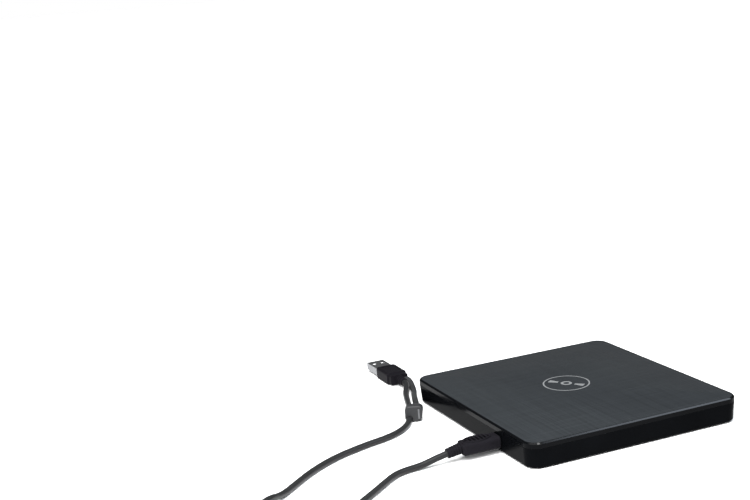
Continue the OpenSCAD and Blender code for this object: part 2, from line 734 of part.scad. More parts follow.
module lead_screw() color("#d3d6d8") at_track() translate([screw_u0, screw_v, rod_z]) rotate([0, 90, 0]) {
    cylinder(h = screw_u1 + 1.4 - screw_u0, r = screw_r);
}

module sled() color("#4b4e50") at_track() difference() {
    pad(track_start, 0, sled_z, sled_l, 2 * sled_hw, sled_h);
    for (sv = [-1, 1]) translate([track_start - sled_l, sv * rod_v, rod_z]) rotate([0, 90, 0])
        cylinder(h = 2 * sled_l, r = rod_r + 0.05);
    pad(track_start, 0, sled_z + 0.9, 8.4, 8.4, 5);
}

module sled_nut() color("#e0ddd2") at_track() difference() {
    block([nut_u, screw_v - 1.8, rod_z - 1.1], [nut_u + nut_l, -sled_hw, rod_z + 1.1]);
    translate([nut_u - 1, screw_v, rod_z]) rotate([0, 90, 0]) cylinder(h = 6, r = screw_r + 0.06);
}

module lens_holder() color("#2a2c2e") at_track() difference() {
    pad(track_start, 0, sled_z + 1.5, 7.4, 7.4, 1.6);
    translate([track_start, 0, sled_z + 1.2]) cylinder(h = 3, r = 2.02);
}

module lens() color("#7f8fc9") at_track() translate([track_start, 0, sled_z + 2.1])
    rotate_extrude() intersection() {
        translate([0, -2.2]) circle(3.2);
        square([2, 1]);
    }

// ---- lead ----

module mini_plug_shell() color("#c4c7c8") difference() {
    block([socket_x - nose_w / 2, plug_y - nose_len, port_z - nose_h / 2],
        [socket_x + nose_w / 2, plug_y, port_z + nose_h / 2]);
    block([socket_x - nose_w / 2 + nose_t, plug_y - nose_len - 1, port_z - nose_h / 2 + nose_t],
        [socket_x + nose_w / 2 - nose_t, plug_y - 0.5, port_z + nose_h / 2 - nose_t]);
}

module mini_plug_body() color("#141516") difference() {
    union() {
        translate([socket_x, plug_y + mini_len, port_z]) rotate([90, 0, 0]) linear_extrude(mini_len)
            rounded(mini_w, mini_h, 2.4);
        translate([socket_x, plug_y + mini_len - eps, port_z]) rotate([-90, 0, 0])
            cylinder(h = 1, r1 = 3.9, r2 = relief_r0);
    }
    for (k = [0:4])
        pad(socket_x, plug_y + 6 + k * 2.6, port_z + mini_h / 2 - 0.4, 6, 1.3, 1);
}

// It hangs down a little under the lead's weight
module mini_plug_relief() color("#141516") difference() {
    translate([socket_x, plug_y + mini_len + 1, port_z]) rotate([-90 - relief_droop, 0, 0])
        difference() {
            translate([0, 0, -relief_root])
                cylinder(h = relief_len - 0.8 + relief_root, r1 = relief_r0 - 0.1, r2 = relief_r1);
            for (k = [0:relief_rings - 1]) translate([0, 0, 1 + k * 1.9]) difference() {
                cylinder(h = 0.8, r = 5);
                translate([0, 0, -1]) cylinder(h = 3, r = relief_r1 - 0.1);
            }
        }
    pad(socket_x, plug_y + mini_len - 4, 0, 20, 10 + 2 * eps, 20);
}

module cord_near() color("#18191a") sweep(near_points, round_outline);
module cord_far() color("#18191a") sweep(far_points, round_outline);

module cord_coil() color("#18191a") translate([coil_c[0], coil_c[1], coil_z]) rotate_extrude()
    translate([(coil_r0 + coil_r1) / 2, cord_r]) rounded(coil_r1 - coil_r0, cord_d, 1.2);

module coil_tie() color("#2b2d2f") translate([coil_c[0], coil_c[1], 0]) intersection() {
    rotate_extrude() difference() {
        translate([coil_r0 - tie_t - 0.05, 0]) square([coil_r1 - coil_r0 + 2 * tie_t + 0.1, coil_z + cord_d + 0.3]);
        translate([coil_r0 - 0.05, tie_t]) square([coil_r1 - coil_r0 + 0.1, cord_d + 0.1]);
    }
    rotate([0, 0, tie_angle]) translate([0, -tie_w / 2, -1]) cube([40, tie_w, 10]);
}

module usb_plug_relief() color("#141516") at_usb() rotate([0, -90, 0]) difference() {
    cylinder(h = usb_relief_len, r1 = usb_relief_r, r2 = relief_r1);
    for (k = [0:2]) translate([0, 0, 1 + k * 2.2]) difference() {
        cylinder(h = 0.9, r = 5);
        translate([0, 0, -1]) cylinder(h = 3, r = relief_r1 - 0.1);
    }
}

module usb_plug_body() color("#141516") at_usb() {
    rotate([90, 0, 90]) translate([0, 0, usb_tail_len]) linear_extrude(plug_len - usb_tail_len)
        rounded(plug_w, plug_h, 1.6);
    rotate([90, 0, 90]) linear_extrude(usb_tail_len + eps)
        rounded(plug_w - 2 * usb_tail_step, plug_h - usb_tail_step, 1.6);
}

module usb_plug_shell() color("#c4c7c8") at_usb() difference() {
    pad(plug_len + usb_nose_len / 2, 0, -usb_nose_h / 2, usb_nose_len, usb_nose_w, usb_nose_h);
    pad(plug_len + usb_nose_len / 2 + 1, 0, -usb_nose_h / 2 + usb_nose_t, usb_nose_len,
        usb_nose_w - 2 * usb_nose_t, usb_nose_h - 2 * usb_nose_t);
    for (sy = [-1, 1]) pad(plug_len + 12.5, sy * 3, -5, 2.5, 2.5, 10);
}

module usb_plug_tongue() color("#e8e6e0") at_usb()
    pad(plug_len + 1 + usb_nose_len / 2 - 0.6, 0, -usb_nose_h / 2 + usb_nose_t + 0.01,
        usb_nose_len - 1.2, usb_nose_w - 2 * usb_nose_t - 0.2, usb_tongue_t);

module cord_strap() color("#1c1d1f") sweep(strap_points, strap_outline);

// An upright tab that sits over the lead
module strap_clip() color("#55585a") translate([clip_pos[0], clip_pos[1], 0]) rotate([0, 0, clip_angle])
    difference() {
        translate([-clip_l / 2, 0, clip_h / 2]) rotate([90, 0, 90]) linear_extrude(clip_l)
            rounded(clip_w, clip_h, clip_r);
        translate([-clip_l, clip_cord, cord_r + 0.1]) rotate([0, 90, 0])
            cylinder(h = 2 * clip_l, r = cord_r + clip_gap);
        block([-clip_l, clip_cord - cord_r - clip_gap, -1],
            [clip_l, clip_cord + cord_r + clip_gap, cord_r + 0.1]);
    }

top_cover();
top_plate();
emblem();
bottom_cover();
feet();
casing_screws();
base_pan();
drive_lid();
chassis_screws();
rail_guides();
left_rail();
right_rail();
main_board();
main_board_chips();
flex_cable();
drive_connector();
bridge_board();
bridge_chips();
usb_socket();
tray();
bezel();
tray_undercover();
eject_button();
led_lens();
tray_board();
eject_switch();
latch_solenoid();
latch_lever();
latch_post();
traverse_frame();
dampers();
damper_screws();
guide_rods();
pickup_cover();
pickup_flex();
spindle_motor();
turntable();
turntable_ring();
claw_1();
claw_2();
claw_3();
sled_motor();
lead_screw();
sled();
sled_nut();
lens_holder();
lens();
mini_plug_shell();
mini_plug_body();
mini_plug_relief();
cord_near();
cord_coil();
coil_tie();
cord_far();
usb_plug_relief();
usb_plug_body();
usb_plug_shell();
usb_plug_tongue();
cord_strap();
strap_clip();
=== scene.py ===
"""Looks of a slim external disc drive and its lead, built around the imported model."""
import math

import bmesh
import bpy
from mathutils import Matrix, Vector


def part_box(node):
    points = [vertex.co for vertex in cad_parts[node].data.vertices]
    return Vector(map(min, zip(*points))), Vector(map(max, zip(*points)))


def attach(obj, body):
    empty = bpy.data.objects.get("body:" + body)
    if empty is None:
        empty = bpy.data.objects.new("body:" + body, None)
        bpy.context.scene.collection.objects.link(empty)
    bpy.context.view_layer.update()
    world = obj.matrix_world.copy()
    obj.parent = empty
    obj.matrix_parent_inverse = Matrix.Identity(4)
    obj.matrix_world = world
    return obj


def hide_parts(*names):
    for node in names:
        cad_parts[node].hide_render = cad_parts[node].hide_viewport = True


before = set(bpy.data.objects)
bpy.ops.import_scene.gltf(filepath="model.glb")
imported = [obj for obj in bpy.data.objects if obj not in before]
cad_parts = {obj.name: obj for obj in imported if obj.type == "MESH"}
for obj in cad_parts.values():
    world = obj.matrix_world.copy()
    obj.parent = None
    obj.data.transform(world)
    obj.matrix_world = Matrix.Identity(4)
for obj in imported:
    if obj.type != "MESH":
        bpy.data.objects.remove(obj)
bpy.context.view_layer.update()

bl_info = {
    "name": "Slim Disc Drive",
    "version": (1, 0, 0),
    "blender": (4, 5, 0),
    "location": "View3D > Sidebar > Disc Drive",
    "description": "Casing, lead and plugs of a slim external disc drive",
    "category": "Add Mesh",
}

MM = 0.001

# The lead's route, in millimetres: out of the small plug, round the spare turns, to the large plug.
NEAR_ROUTE = [
    (-35, 94.5, 6.7), (-35, 97.3, 6.2), (-35, 100.15, 5.7), (-35, 103, 5.2), (-35, 107, 4.4),
    (-35, 111, 3.5), (-35, 115, 2.7), (-35, 119, 2.2), (-35.4, 124, 2), (-37, 129.8, 2),
    (-40.2, 135.4, 2), (-44.8, 141.2, 2), (-52.6, 150.6, 2), (-60.9, 160.9, 2), (-68.8, 170.9, 2.1),
    (-76.2, 180.3, 2.2),
]
FAR_ROUTE = [
    (-50.4, 215.6, 6.1), (-47.6, 212.6, 6.1), (-42.2, 206.8, 6.1), (-38.1, 202.4, 5.2),
    (-33.3, 197.3, 3.4), (-28.5, 192.2, 2.3), (-23, 186.3, 2), (-12, 174, 2), (-3, 162, 2),
    (4, 150, 2), (9, 138, 2), (13, 126, 2), (16, 115, 2), (20.5, 105, 2), (27.5, 96.5, 2),
    (36.5, 90, 2), (48, 84.2, 2), (60, 79.6, 2), (72, 75.4, 2), (81, 72, 2.4), (87.5, 68.7, 3.1),
    (92, 66.4, 3.7), (95.3, 65.3, 3.95), (98.15, 65.02, 4), (102, 65, 4),
]
STRAP_ROUTE = [
    (109, 60.2, 4), (106.3, 60.2, 4), (102, 60.2, 3.8), (95, 61.4, 2.4), (87, 63.8, 1.3),
    (80, 66.8, 1), (72, 70, 1), (64, 72.9, 1), (56, 75.7, 1.2), (50, 78.2, 1.3),
    (43.95, 81.04, 1.3), (39.4, 83.3, 1.3),
]

# The spare turns: angles in degrees, sizes in millimetres, and start and length of each change.
COIL_CENTRE = Vector((-67, 205.5, 0)) * MM
COIL_IN_ANGLE = 218
COIL_SWEEP = 535
COIL_OUTER = 22.85
COIL_INNER = 19.0
COIL_HEIGHT = 2.2
COIL_EXIT_HEIGHT = 6.1
COIL_STEPS = 22
COIL_TUCK = (180, 170)
COIL_RISE = (478, COIL_SWEEP - 478)
TIE_ANGLE = 130
LARGE_PLUG = (106.4, 65.0, 4.0)
RELIEF_DROOP = -10
CLIP_PLACE = (38.3, 85.6, 0)
CLIP_ANGLE = 153


# ---- settings ----

class CasingSettings(bpy.types.PropertyGroup):
    """Sizes and colours of the casing and the tray's front."""
    corner_radius: bpy.props.FloatProperty(
        name="Corner radius", description="Radius of the upright corners",
        default=0.008, min=0.004, max=0.012, subtype="DISTANCE", unit="LENGTH")
    rim_bevel: bpy.props.FloatProperty(
        name="Rim bevel", description="Bevel around the upper shell",
        default=0.0008, min=0.0003, max=0.0012, precision=5, subtype="DISTANCE", unit="LENGTH")
    rim_width: bpy.props.FloatProperty(
        name="Rim width", description="Rim left around the top plate",
        default=0.0012, min=0.001, max=0.002, precision=5, subtype="DISTANCE", unit="LENGTH")
    plate_depth: bpy.props.FloatProperty(
        name="Plate depth", description="Depth of the seat for the top plate",
        default=0.0005, min=0.0003, max=0.0008, precision=5, subtype="DISTANCE", unit="LENGTH")
    draft: bpy.props.FloatProperty(
        name="Draft", description="How far the lower wall leans in towards the bottom",
        default=0.0008, min=0.0004, max=0.0012, precision=5, subtype="DISTANCE", unit="LENGTH")
    wall: bpy.props.FloatProperty(
        name="Wall", description="Thickness of the plastic walls at the parting line",
        default=0.0024, min=0.0016, max=0.003, precision=5, subtype="DISTANCE", unit="LENGTH")
    shell_colour: bpy.props.FloatVectorProperty(
        name="Shell colour", description="Gloss black of the casing",
        default=(0.0016, 0.0018, 0.0022), size=3, min=0, max=1, subtype="COLOR")
    plate_colour: bpy.props.FloatVectorProperty(
        name="Plate colour", description="Dark satin of the top plate",
        default=(0.0176, 0.0198, 0.0216), size=3, min=0, max=1, subtype="COLOR")


class LeadSettings(bpy.types.PropertyGroup):
    """Sizes and colours of the lead and its plugs."""
    cord_diameter: bpy.props.FloatProperty(
        name="Lead diameter", description="Diameter of the lead",
        default=0.0038, min=0.0035, max=0.004, precision=5, subtype="DISTANCE", unit="LENGTH")
    lead_length: bpy.props.FloatProperty(
        name="Lead length", description="Length of the lead between its plugs",
        default=0.541, min=0.4, max=0.7, subtype="DISTANCE", unit="LENGTH")
    rubber_colour: bpy.props.FloatVectorProperty(
        name="Lead colour", description="Black of the lead",
        default=(0.014, 0.0143, 0.0148), size=3, min=0, max=1, subtype="COLOR")
    grip_colour: bpy.props.FloatVectorProperty(
        name="Grip colour", description="Black of the moulded plug grips",
        default=(0.0068, 0.0063, 0.0079), size=3, min=0, max=1, subtype="COLOR")
    clip_colour: bpy.props.FloatVectorProperty(
        name="Clip colour", description="Grey of the strap's clip",
        default=(0.018, 0.0185, 0.0195), size=3, min=0, max=1, subtype="COLOR")


class StageSettings(bpy.types.PropertyGroup):
    """Camera, floor and lights."""
    lens: bpy.props.FloatProperty(
        name="Focal length", description="Focal length of the camera in millimetres",
        default=61.1, min=20, max=200)
    sky: bpy.props.FloatProperty(
        name="Sky strength", description="Strength of the even light all around",
        default=1.0, min=0, max=5)
    sun: bpy.props.FloatProperty(
        name="Ceiling strength", description="Strength of the broad light from above",
        default=2.9, min=0, max=10)
    floor_colour: bpy.props.FloatVectorProperty(
        name="Floor colour", description="Pale floor",
        default=(0.9, 0.9, 0.9), size=3, min=0, max=1, subtype="COLOR")


# ---- modelling helpers ----

def clear_selection():
    """Back to object mode with nothing selected."""
    if bpy.context.object and bpy.context.object.mode != "OBJECT":
        bpy.ops.object.mode_set(mode="OBJECT")
    bpy.ops.object.select_all(action="DESELECT")


def make_active(obj):
    """Only this object is selected and active."""
    clear_selection()
    obj.select_set(True)
    bpy.context.view_layer.objects.active = obj


def settle():
    """Moves the place, turn and scale of the selected object into its mesh."""
    bpy.ops.object.transform_apply(location=True, rotation=True, scale=True)


def named(name):
    """Names the object just added and moves its place into its mesh."""
    obj = bpy.context.object
    obj.name = obj.data.name = name
    settle()
    return obj


def add_block(name, low, high):
    """A block between two corners."""
    clear_selection()
    low, high = Vector(low), Vector(high)
    bpy.ops.mesh.primitive_cube_add(size=1, location=(low + high) / 2, scale=high - low)
    return named(name)


def add_post(name, centre, radius, depth, axis="Z", sides=48):
    """A round post about its centre, along one axis."""
    clear_selection()
    turn = {"X": (0, math.pi / 2, 0), "Y": (-math.pi / 2, 0, 0), "Z": (0, 0, 0)}[axis]
    bpy.ops.mesh.primitive_cylinder_add(
        vertices=sides, radius=radius, depth=depth, location=centre, rotation=turn)
    return named(name)


def edit(obj):
    """Opens the object's mesh for editing."""
    make_active(obj)
    bpy.ops.object.mode_set(mode="EDIT")


def pick_edges(obj, test):
    """Selects the edges whose two ends pass the test."""
    bpy.ops.mesh.select_mode(type="EDGE")
    bpy.ops.mesh.select_all(action="DESELECT")
    mesh = bmesh.from_edit_mesh(obj.data)
    for e in mesh.edges:
        e.select_set(bool(test(e.verts[0].co, e.verts[1].co)))
    bmesh.update_edit_mesh(obj.data)


def pick_faces(obj, test):
    """Selects the faces whose middle and normal pass the test."""
    bpy.ops.mesh.select_mode(type="FACE")
    bpy.ops.mesh.select_all(action="DESELECT")
    mesh = bmesh.from_edit_mesh(obj.data)
    for f in mesh.faces:
        f.select_set(bool(test(f.calc_center_median(), f.normal)))
    bmesh.update_edit_mesh(obj.data)


def near(a, b, gap=0.00001):
    """Whether two lengths are the same but for rounding."""
    return abs(a - b) < gap


def along(axis):
    """A test for edges that run along an axis."""
    across = [i for i in range(3) if i != "XYZ".index(axis)]
    return lambda a, b: all(near(a[i], b[i]) for i in across)


def level(axis, place):
    """A test for edges whose ends both lie at one place on an axis."""
    i = "XYZ".index(axis)
    return lambda a, b: near(a[i], place) and near(b[i], place)


def facing(axis, way, place=None):
    """A test for faces that look one way along an axis, at one place on it if that is given."""
    i = "XYZ".index(axis)
    return lambda c, n: n[i] * way > 0.9 and (place is None or near(c[i], place))


def bevel_edges(obj, test, width, segments):
    """Bevels the edges that pass the test: to a round, or to a flat with one segment."""
    pick_edges(obj, test)
    bpy.ops.mesh.bevel(offset=width, segments=segments, profile=0.5, affect="EDGES")


def inset(width):
    """Insets the selected faces."""
    bpy.ops.mesh.inset(thickness=width)


def extrude(x=0.0, y=0.0, z=0.0):
    """Extrudes the selected faces by an offset."""
    bpy.ops.mesh.extrude_region_move(TRANSFORM_OT_translate={"value": (x, y, z)})


def scale_about(centre, x=1.0, y=1.0, z=1.0):
    """Scales the selected part about a point."""
    bpy.ops.transform.resize(value=(x, y, z), center_override=tuple(centre))


def apply_modifier(obj, kind, **values):
    """Adds one modifier with these values and applies it."""
    make_active(obj)
    modifier = obj.modifiers.new(kind.title(), kind)
    for key, value in values.items():
        setattr(modifier, key, value)
    bpy.ops.object.modifier_apply(modifier=modifier.name)


def join(first, *others):
    """Joins the other objects into the first."""
    make_active(first)
    for other in others:
        other.select_set(True)
    bpy.ops.object.join()
    return first


def copy_to(obj, name, offset):
    """A copy with its own mesh, moved by an offset."""
    make_active(obj)
    bpy.ops.object.duplicate()
    bpy.ops.transform.translate(value=offset)
    return named(name)


def combine(obj, tool, operation="DIFFERENCE"):
    """Cuts the tool's shape out of the object, or adds it, and removes the tool."""
    apply_modifier(obj, "BOOLEAN", object=tool, operation=operation, solver="EXACT")
    bpy.data.objects.remove(tool)


def finish_edges(obj, width=0.0, segments=2, angle=40):
    """Rounds what is still sharp and shades the surface smooth."""
    if width:
        apply_modifier(obj, "BEVEL", width=width, segments=segments, limit_method="ANGLE",
                       angle_limit=math.radians(angle), harden_normals=False)
    make_active(obj)
    bpy.ops.object.shade_smooth_by_angle(angle=math.radians(angle))
    apply_modifier(obj, "WEIGHTED_NORMAL", keep_sharp=True)


def put(obj, centre, angle=0, axis="Z"):
    """Turns the object about an axis, moves it from the origin to a place, and settles it there."""
    make_active(obj)
    obj.matrix_world = Matrix.Translation(centre) @ Matrix.Rotation(math.radians(angle), 4, axis)
    settle()


def own(obj, body, slot, *nodes, look=None):
    """The piece rides on a body, takes its slot's finish or another look, and stands for CAD nodes."""
    obj.data.materials.clear()
    obj.data.materials.append(finish(look or slot))
    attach(obj, body)
    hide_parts(*nodes)


# ---- finishes ----

def shader_of(material):
    """The material's surface shader."""
    return next(n for n in material.node_tree.nodes if n.type == "BSDF_PRINCIPLED")


def start_finish(name, roughness, metallic=0.0, specular=0.5):
    """A new material whose even values are set on the shader itself."""
    material = bpy.data.materials.new(name)
    material.use_nodes = True
    shader = shader_of(material)
    shader.inputs["Roughness"].default_value = roughness
    shader.inputs["Metallic"].default_value = metallic
    shader.inputs["Specular IOR Level"].default_value = specular
    return material


def place_on_piece(material, stretch):
    """Object coordinates, stretched along the axes."""
    nodes = material.node_tree.nodes
    place = nodes.new("ShaderNodeTexCoord")
    mapping = nodes.new("ShaderNodeMapping")
    mapping.inputs["Scale"].default_value = stretch
    material.node_tree.links.new(place.outputs["Object"], mapping.inputs["Vector"])
    return mapping.outputs["Vector"]


def noise(material, vector, scale, detail=3.0, roughness=0.5):
    """Noise at a scale per metre."""
    texture = material.node_tree.nodes.new("ShaderNodeTexNoise")
    texture.inputs["Scale"].default_value = scale
    texture.inputs["Detail"].default_value = detail
    texture.inputs["Roughness"].default_value = roughness
    material.node_tree.links.new(vector, texture.inputs["Vector"])
    return texture.outputs["Fac"]


def remap(material, value, low, high):
    """Spreads the middle of a noise between two values."""
    spread = material.node_tree.nodes.new("ShaderNodeMapRange")
    spread.inputs["From Min"].default_value = 0.3
    spread.inputs["From Max"].default_value = 0.7
    spread.inputs["To Min"].default_value = low
    spread.inputs["To Max"].default_value = high
    material.node_tree.links.new(value, spread.inputs["Value"])
    return spread.outputs["Result"]


def shade_between(material, value, dark, light):
    """A colour between two shades."""
    mix = material.node_tree.nodes.new("ShaderNodeMix")
    mix.data_type = "RGBA"
    mix.inputs[6].default_value = (*dark, 1)
    mix.inputs[7].default_value = (*light, 1)
    material.node_tree.links.new(value, mix.inputs[0])
    return mix.outputs[2]


def raise_grain(material, value, depth, strength=0.5):
    """A bump of a depth in metres."""
    bump = material.node_tree.nodes.new("ShaderNodeBump")
    bump.inputs["Strength"].default_value = strength
    bump.inputs["Distance"].default_value = depth
    material.node_tree.links.new(value, bump.inputs["Height"])
    return bump.outputs["Normal"]


def moulded(name, colour, roughness, grain=1500, depth=0.00003, swing=0.06, shade=0.15,
            metallic=0.0, specular=0.5, stretch=(1, 1, 1), coat=0.0):
    """A moulded, rolled or cast finish with a fine grain and slow changes of shade."""
    material = start_finish(name, roughness, metallic, specular)
    shader = shader_of(material)
    shader.inputs["Coat Weight"].default_value = coat
    shader.inputs["Coat Roughness"].default_value = 0.08
    links = material.node_tree.links
    vector = place_on_piece(material, stretch)
    fine = noise(material, vector, grain, 4)
    slow = noise(material, vector, 45, 3)
    dark = tuple(c * (1 - shade) for c in colour)
    light = tuple(min(1, c * (1 + shade)) for c in colour)
    links.new(shade_between(material, remap(material, slow, 0, 1), dark, light),
              shader.inputs["Base Color"])
    links.new(remap(material, fine, max(0.02, roughness - swing), min(1, roughness + swing)),
              shader.inputs["Roughness"])
    links.new(raise_grain(material, fine, depth), shader.inputs["Normal"])
    return material


def brushed_plate(colour):
    """Dark brushed satin: long fine strokes along X and fainter short ones across."""
    material = start_finish("brushed_plate", 0.42, specular=0.02)
    shader = shader_of(material)
    links = material.node_tree.links
    along = noise(material, place_on_piece(material, (12, 2000, 12)), 1, 4, 0.7)
    across = noise(material, place_on_piece(material, (1500, 16, 16)), 1, 3, 0.6)
    cloud = noise(material, place_on_piece(material, (1, 1, 1)), 16, 2)
    weave = material.node_tree.nodes.new("ShaderNodeMath")
    weave.operation = "MULTIPLY_ADD"
    weave.inputs[1].default_value = 0.45
    links.new(across, weave.inputs[0])
    links.new(along, weave.inputs[2])
    stroke = material.node_tree.nodes.new("ShaderNodeMapRange")
    stroke.inputs["From Min"].default_value = 0.5
    stroke.inputs["From Max"].default_value = 0.95
    links.new(weave.outputs[0], stroke.inputs["Value"])
    strokes = shade_between(material, stroke.outputs["Result"],
                            tuple(c * 0.7 for c in colour), tuple(c * 1.35 for c in colour))
    tone = material.node_tree.nodes.new("ShaderNodeMix")
    tone.data_type = "RGBA"
    tone.blend_type = "MULTIPLY"
    tone.inputs[0].default_value = 1.0
    links.new(strokes, tone.inputs[6])
    links.new(shade_between(material, remap(material, cloud, 0, 1), (0.88, 0.88, 0.9), (1, 1, 1)),
              tone.inputs[7])
    links.new(tone.outputs[2], shader.inputs["Base Color"])
    links.new(remap(material, along, 0.36, 0.5), shader.inputs["Roughness"])
    links.new(raise_grain(material, stroke.outputs["Result"], 0.00002, 0.35), shader.inputs["Normal"])
    return material


def circuit_board(name, colour):
    """Solder mask with faint tracks under it."""
    material = start_finish(name, 0.35)
    shader = shader_of(material)
    links = material.node_tree.links
    tracks = material.node_tree.nodes.new("ShaderNodeTexBrick")
    tracks.inputs["Scale"].default_value = 260
    tracks.inputs["Mortar Size"].default_value = 0.05
    tracks.inputs["Color1"].default_value = (*colour, 1)
    tracks.inputs["Color2"].default_value = (*(c * 0.93 for c in colour), 1)
    tracks.inputs["Mortar"].default_value = (*(min(1, c * 1.3) for c in colour), 1)
    vector = place_on_piece(material, (1, 1, 1))
    links.new(vector, tracks.inputs["Vector"])
    links.new(tracks.outputs["Color"], shader.inputs["Base Color"])
    links.new(raise_grain(material, tracks.outputs["Fac"], 0.00002, 0.3), shader.inputs["Normal"])
    return material


FINISHES = {}


def finish(name):
    """A finish by its name, made once."""
    if FINISHES:
        return FINISHES[name]
    casing = bpy.context.scene.drive_casing
    lead = bpy.context.scene.drive_lead
    shell = tuple(casing.shell_colour)
    FINISHES.update({
        "gloss_black": moulded("gloss_black", shell, 0.13, grain=900, depth=0.000004, swing=0.03,
                               shade=0.2, specular=0.008),
        "satin_black": moulded("satin_black", shell, 0.16, grain=2200, depth=0.000006, swing=0.03,
                               shade=0.2, specular=0.03),
        "rim_gloss": moulded("rim_gloss", shell, 0.17, grain=2200, depth=0.000004, swing=0.03,
                             shade=0.2, specular=0.22),
        "brushed_plate": brushed_plate(tuple(casing.plate_colour)),
        "silver_print": moulded("silver_print", (0.2, 0.205, 0.21), 0.35, grain=3000, depth=0.000004,
                                metallic=0.3, swing=0.05, shade=0.06),
        "rubber_black": moulded("rubber_black", (0.02, 0.02, 0.021), 0.75, grain=2600, depth=0.00004),
        "screw_steel": moulded("screw_steel", (0.2, 0.205, 0.215), 0.42, metallic=1, grain=2600,
                               depth=0.00001),
        "sheet_steel": moulded("sheet_steel", (0.12, 0.123, 0.128), 0.6, metallic=1, grain=1400,
                               depth=0.000004, shade=0.05, stretch=(1, 0.06, 1)),
        "bright_steel": moulded("bright_steel", (0.2, 0.203, 0.21), 0.38, metallic=1, grain=2600,
                                depth=0.000002, swing=0.03, shade=0.05),
        "guide_ivory": moulded("guide_ivory", (0.27, 0.25, 0.2), 0.55, grain=1600),
        "board_green": circuit_board("board_green", (0.012, 0.085, 0.04)),
        "chip_black": moulded("chip_black", (0.014, 0.014, 0.016), 0.5, grain=3400),
        "flex_amber": moulded("flex_amber", (0.17, 0.085, 0.02), 0.4, grain=1200, stretch=(1, 0.05, 1)),
        "tray_grey": moulded("tray_grey", (0.018, 0.019, 0.021), 0.5, grain=2400, depth=0.00003,
                             specular=0.3),
        "bezel_black": moulded("bezel_black", shell, 0.24, grain=2000, depth=0.000008, swing=0.04,
                               specular=0.16),
        "led_green": moulded("led_green", (0.16, 0.5, 0.14), 0.2, grain=1500, depth=0.000005),
        "coil_copper": moulded("coil_copper", (0.42, 0.17, 0.07), 0.35, metallic=0.8, grain=300,
                               depth=0.0001, stretch=(1, 14, 1)),
        "lens_glass": moulded("lens_glass", (0.09, 0.1, 0.3), 0.05, grain=800, depth=0.000001,
                              coat=1.0, swing=0.02),
        "holder_black": moulded("holder_black", (0.016, 0.016, 0.018), 0.42, grain=2400),
        "sled_metal": moulded("sled_metal", (0.16, 0.165, 0.17), 0.45, metallic=0.7, grain=900,
                              depth=0.00005),
        "plug_black": moulded("plug_black", tuple(lead.grip_colour), 0.4, grain=2600, depth=0.00002,
                              swing=0.07, specular=0.016),
        "cord_black": moulded("cord_black", tuple(lead.rubber_colour), 0.33, grain=2200,
                              depth=0.00002, swing=0.06, specular=0.1),
        "strap_black": moulded("strap_black", tuple(c * 1.7 for c in lead.rubber_colour), 0.5,
                               grain=2600, depth=0.00008, swing=0.08, shade=0.45, specular=0.08),
        "tongue_white": moulded("tongue_white", (0.36, 0.35, 0.33), 0.5, grain=1800),
        "clip_grey": moulded("clip_grey", tuple(lead.clip_colour), 0.42, grain=2200, depth=0.00003,
                             specular=0.2),
        # The ridge colour is four times the clip's grey: a painted highlight along the clip's ridges.
        "ridge_painted_highlight": moulded("ridge_painted_highlight", tuple(c * 4 for c in lead.clip_colour), 0.36, grain=2200,
                              depth=0.00003),
    })
    return FINISHES[name]


NODES_BY_FINISH = {
    "silver_print": ("emblem",),
    "rubber_black": ("feet", "dampers", "turntable_ring"),
    "screw_steel": ("casing_screws", "chassis_screws", "damper_screws"),
    "sheet_steel": ("base_pan", "drive_lid", "tray_undercover", "traverse_frame", "pickup_cover",
                    "spindle_motor", "sled_motor"),
    "bright_steel": ("left_rail", "right_rail", "usb_socket", "latch_post", "guide_rods", "turntable",
                     "lead_screw", "mini_plug_shell", "usb_plug_shell"),
    "guide_ivory": ("rail_guides", "latch_lever", "claw_1", "claw_2", "claw_3", "sled_nut"),
    "board_green": ("main_board", "bridge_board", "tray_board"),
    "chip_black": ("main_board_chips", "drive_connector", "bridge_chips"),
    "flex_amber": ("flex_cable", "pickup_flex"),
    "tray_grey": ("tray",),
    "sled_metal": ("eject_switch", "sled"),
    "coil_copper": ("latch_solenoid",),
    "holder_black": ("lens_holder",),
    "lens_glass": ("lens",),
    "tongue_white": ("usb_plug_tongue",),
}


# ---- camera, floor and lights ----

def aim(azimuth, elevation, roll):
    """Columns of a camera turned to an azimuth, an elevation and a roll, in degrees."""
    a, e, r = (math.radians(v) for v in (azimuth, elevation, roll))
    back = Vector((math.sin(a) * math.cos(e), -math.cos(a) * math.cos(e), math.sin(e)))
    right = Vector((0, 0, 1)).cross(back).normalized()
    up = back.cross(right)
    return (right * math.cos(r) + up * math.sin(r), up * math.cos(r) - right * math.sin(r), back)


def add_camera(lens):
    """The camera behind the drive's left rear corner, a little above the table."""
    right, up, back = aim(247.73, 11.96, -4.45)
    place = Vector((-632.31, 377.68, 261.91)) * MM
    data = bpy.data.cameras.new("camera")
    data.lens = lens
    data.sensor_width = 36
    data.clip_start = 0.01
    camera = bpy.data.objects.new("camera", data)
    camera.matrix_world = Matrix((
        (right.x, up.x, back.x, place.x), (right.y, up.y, back.y, place.y),
        (right.z, up.z, back.z, place.z), (0, 0, 0, 1)))
    bpy.context.scene.collection.objects.link(camera)
    bpy.context.scene.camera = camera


def add_panel_light(name, place, target, width, height, power, colour=(1, 1, 1)):
    """A soft rectangular light at a place, turned to a target."""
    data = bpy.data.lights.new(name, "AREA")
    data.shape = "RECTANGLE"
    data.size, data.size_y, data.energy, data.color = width, height, power, colour
    light = bpy.data.objects.new(name, data)
    light.location = place
    light.rotation_euler = (Vector(target) - Vector(place)).to_track_quat("-Z", "Y").to_euler()
    bpy.context.scene.collection.objects.link(light)


